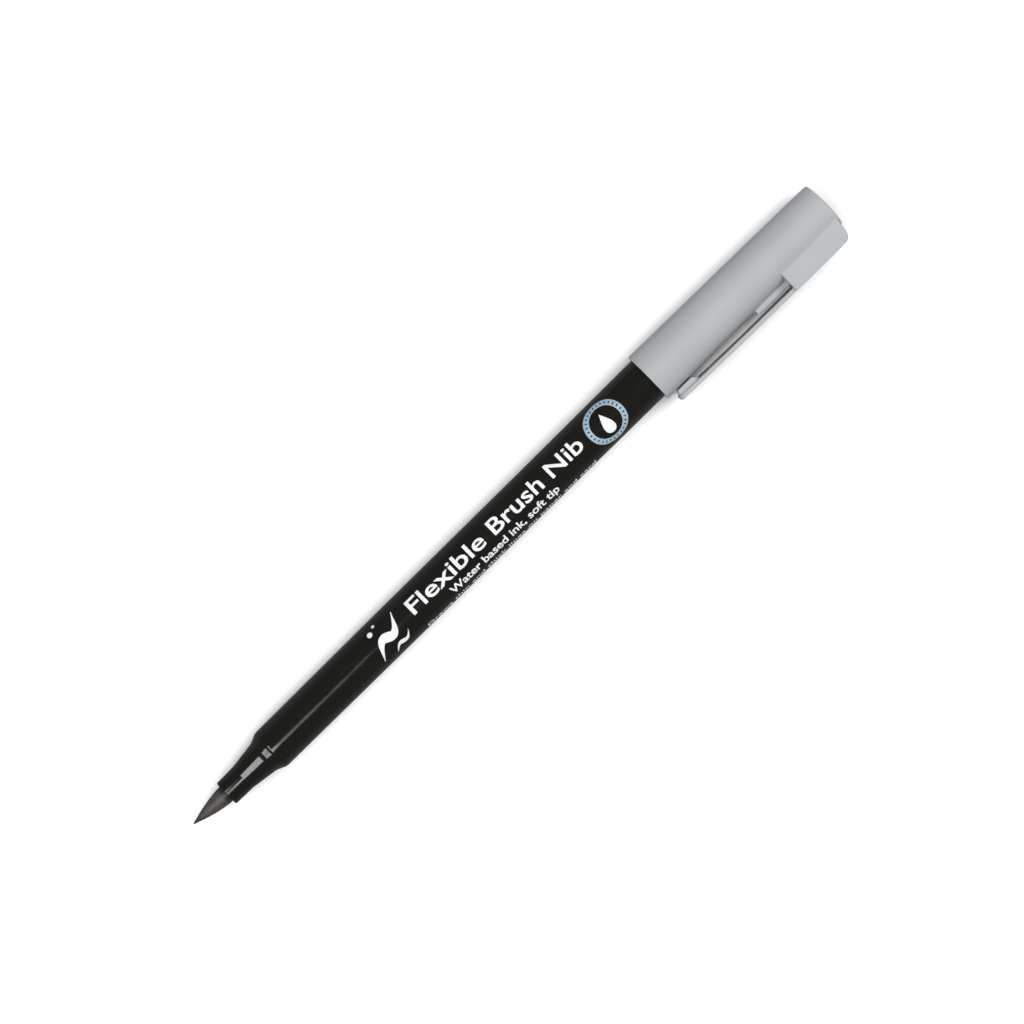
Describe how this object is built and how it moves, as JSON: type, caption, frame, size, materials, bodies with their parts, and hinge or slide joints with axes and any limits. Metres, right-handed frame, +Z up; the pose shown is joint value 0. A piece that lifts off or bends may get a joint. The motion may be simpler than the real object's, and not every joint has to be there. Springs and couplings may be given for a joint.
{
  "type": "brush marker",
  "caption": "Slim round brush marker with a tapered fibre brush nib and a clip cap posted on its tail.",
  "frame": {"origin": "on the pen's axis, at the middle of the barrel's straight grip", "axes": "+X along the pen from the nib to the closed end of the cap, +Z up as the pen lies, the clip toward -Y"},
  "size_m": [0.1773, 0.0139, 0.0114],
  "materials": {
    "barrel_black": "gloss",
    "brush_fibre": "matte",
    "cap_grey": "satin",
    "liner_white": "satin",
    "fibre_white": "matte",
    "film": "gloss",
    "print_white": "satin"
  },
  "bodies": {
    "barrel": {"barrel_tube": "barrel_black", "nose_section": "barrel_black", "nib_collar": "liner_white", "nib_shank": "brush_fibre", "ink_reservoir": "fibre_white", "reservoir_wrap": "film", "tail_plug": "barrel_black"},
    "brush": {"brush_tip": "brush_fibre"},
    "cap": {"cap_shell": "cap_grey", "inner_cap": "liner_white"},
    "clip": {"clip_arm": "cap_grey"}
  },
  "joints": [
    {"name": "cap_pull", "type": "slide", "parent": "barrel", "child": "cap", "axis": [1, 0, 0], "range_m": [0, 0.03]},
    {"name": "clip_flex", "type": "hinge", "parent": "cap", "child": "clip", "pos_m": [0.087, -0.00775, 0], "axis": [0, 0, 1], "range_deg": [0, 5], "stiffness_Nm_per_rad": 0.1},
    {"name": "tip_bend", "type": "hinge", "parent": "barrel", "child": "brush", "pos_m": [-0.0659, 0, 0], "axis": [0, 0, 1], "range_deg": [-20, 20], "stiffness_Nm_per_rad": 0.01}
  ]
}
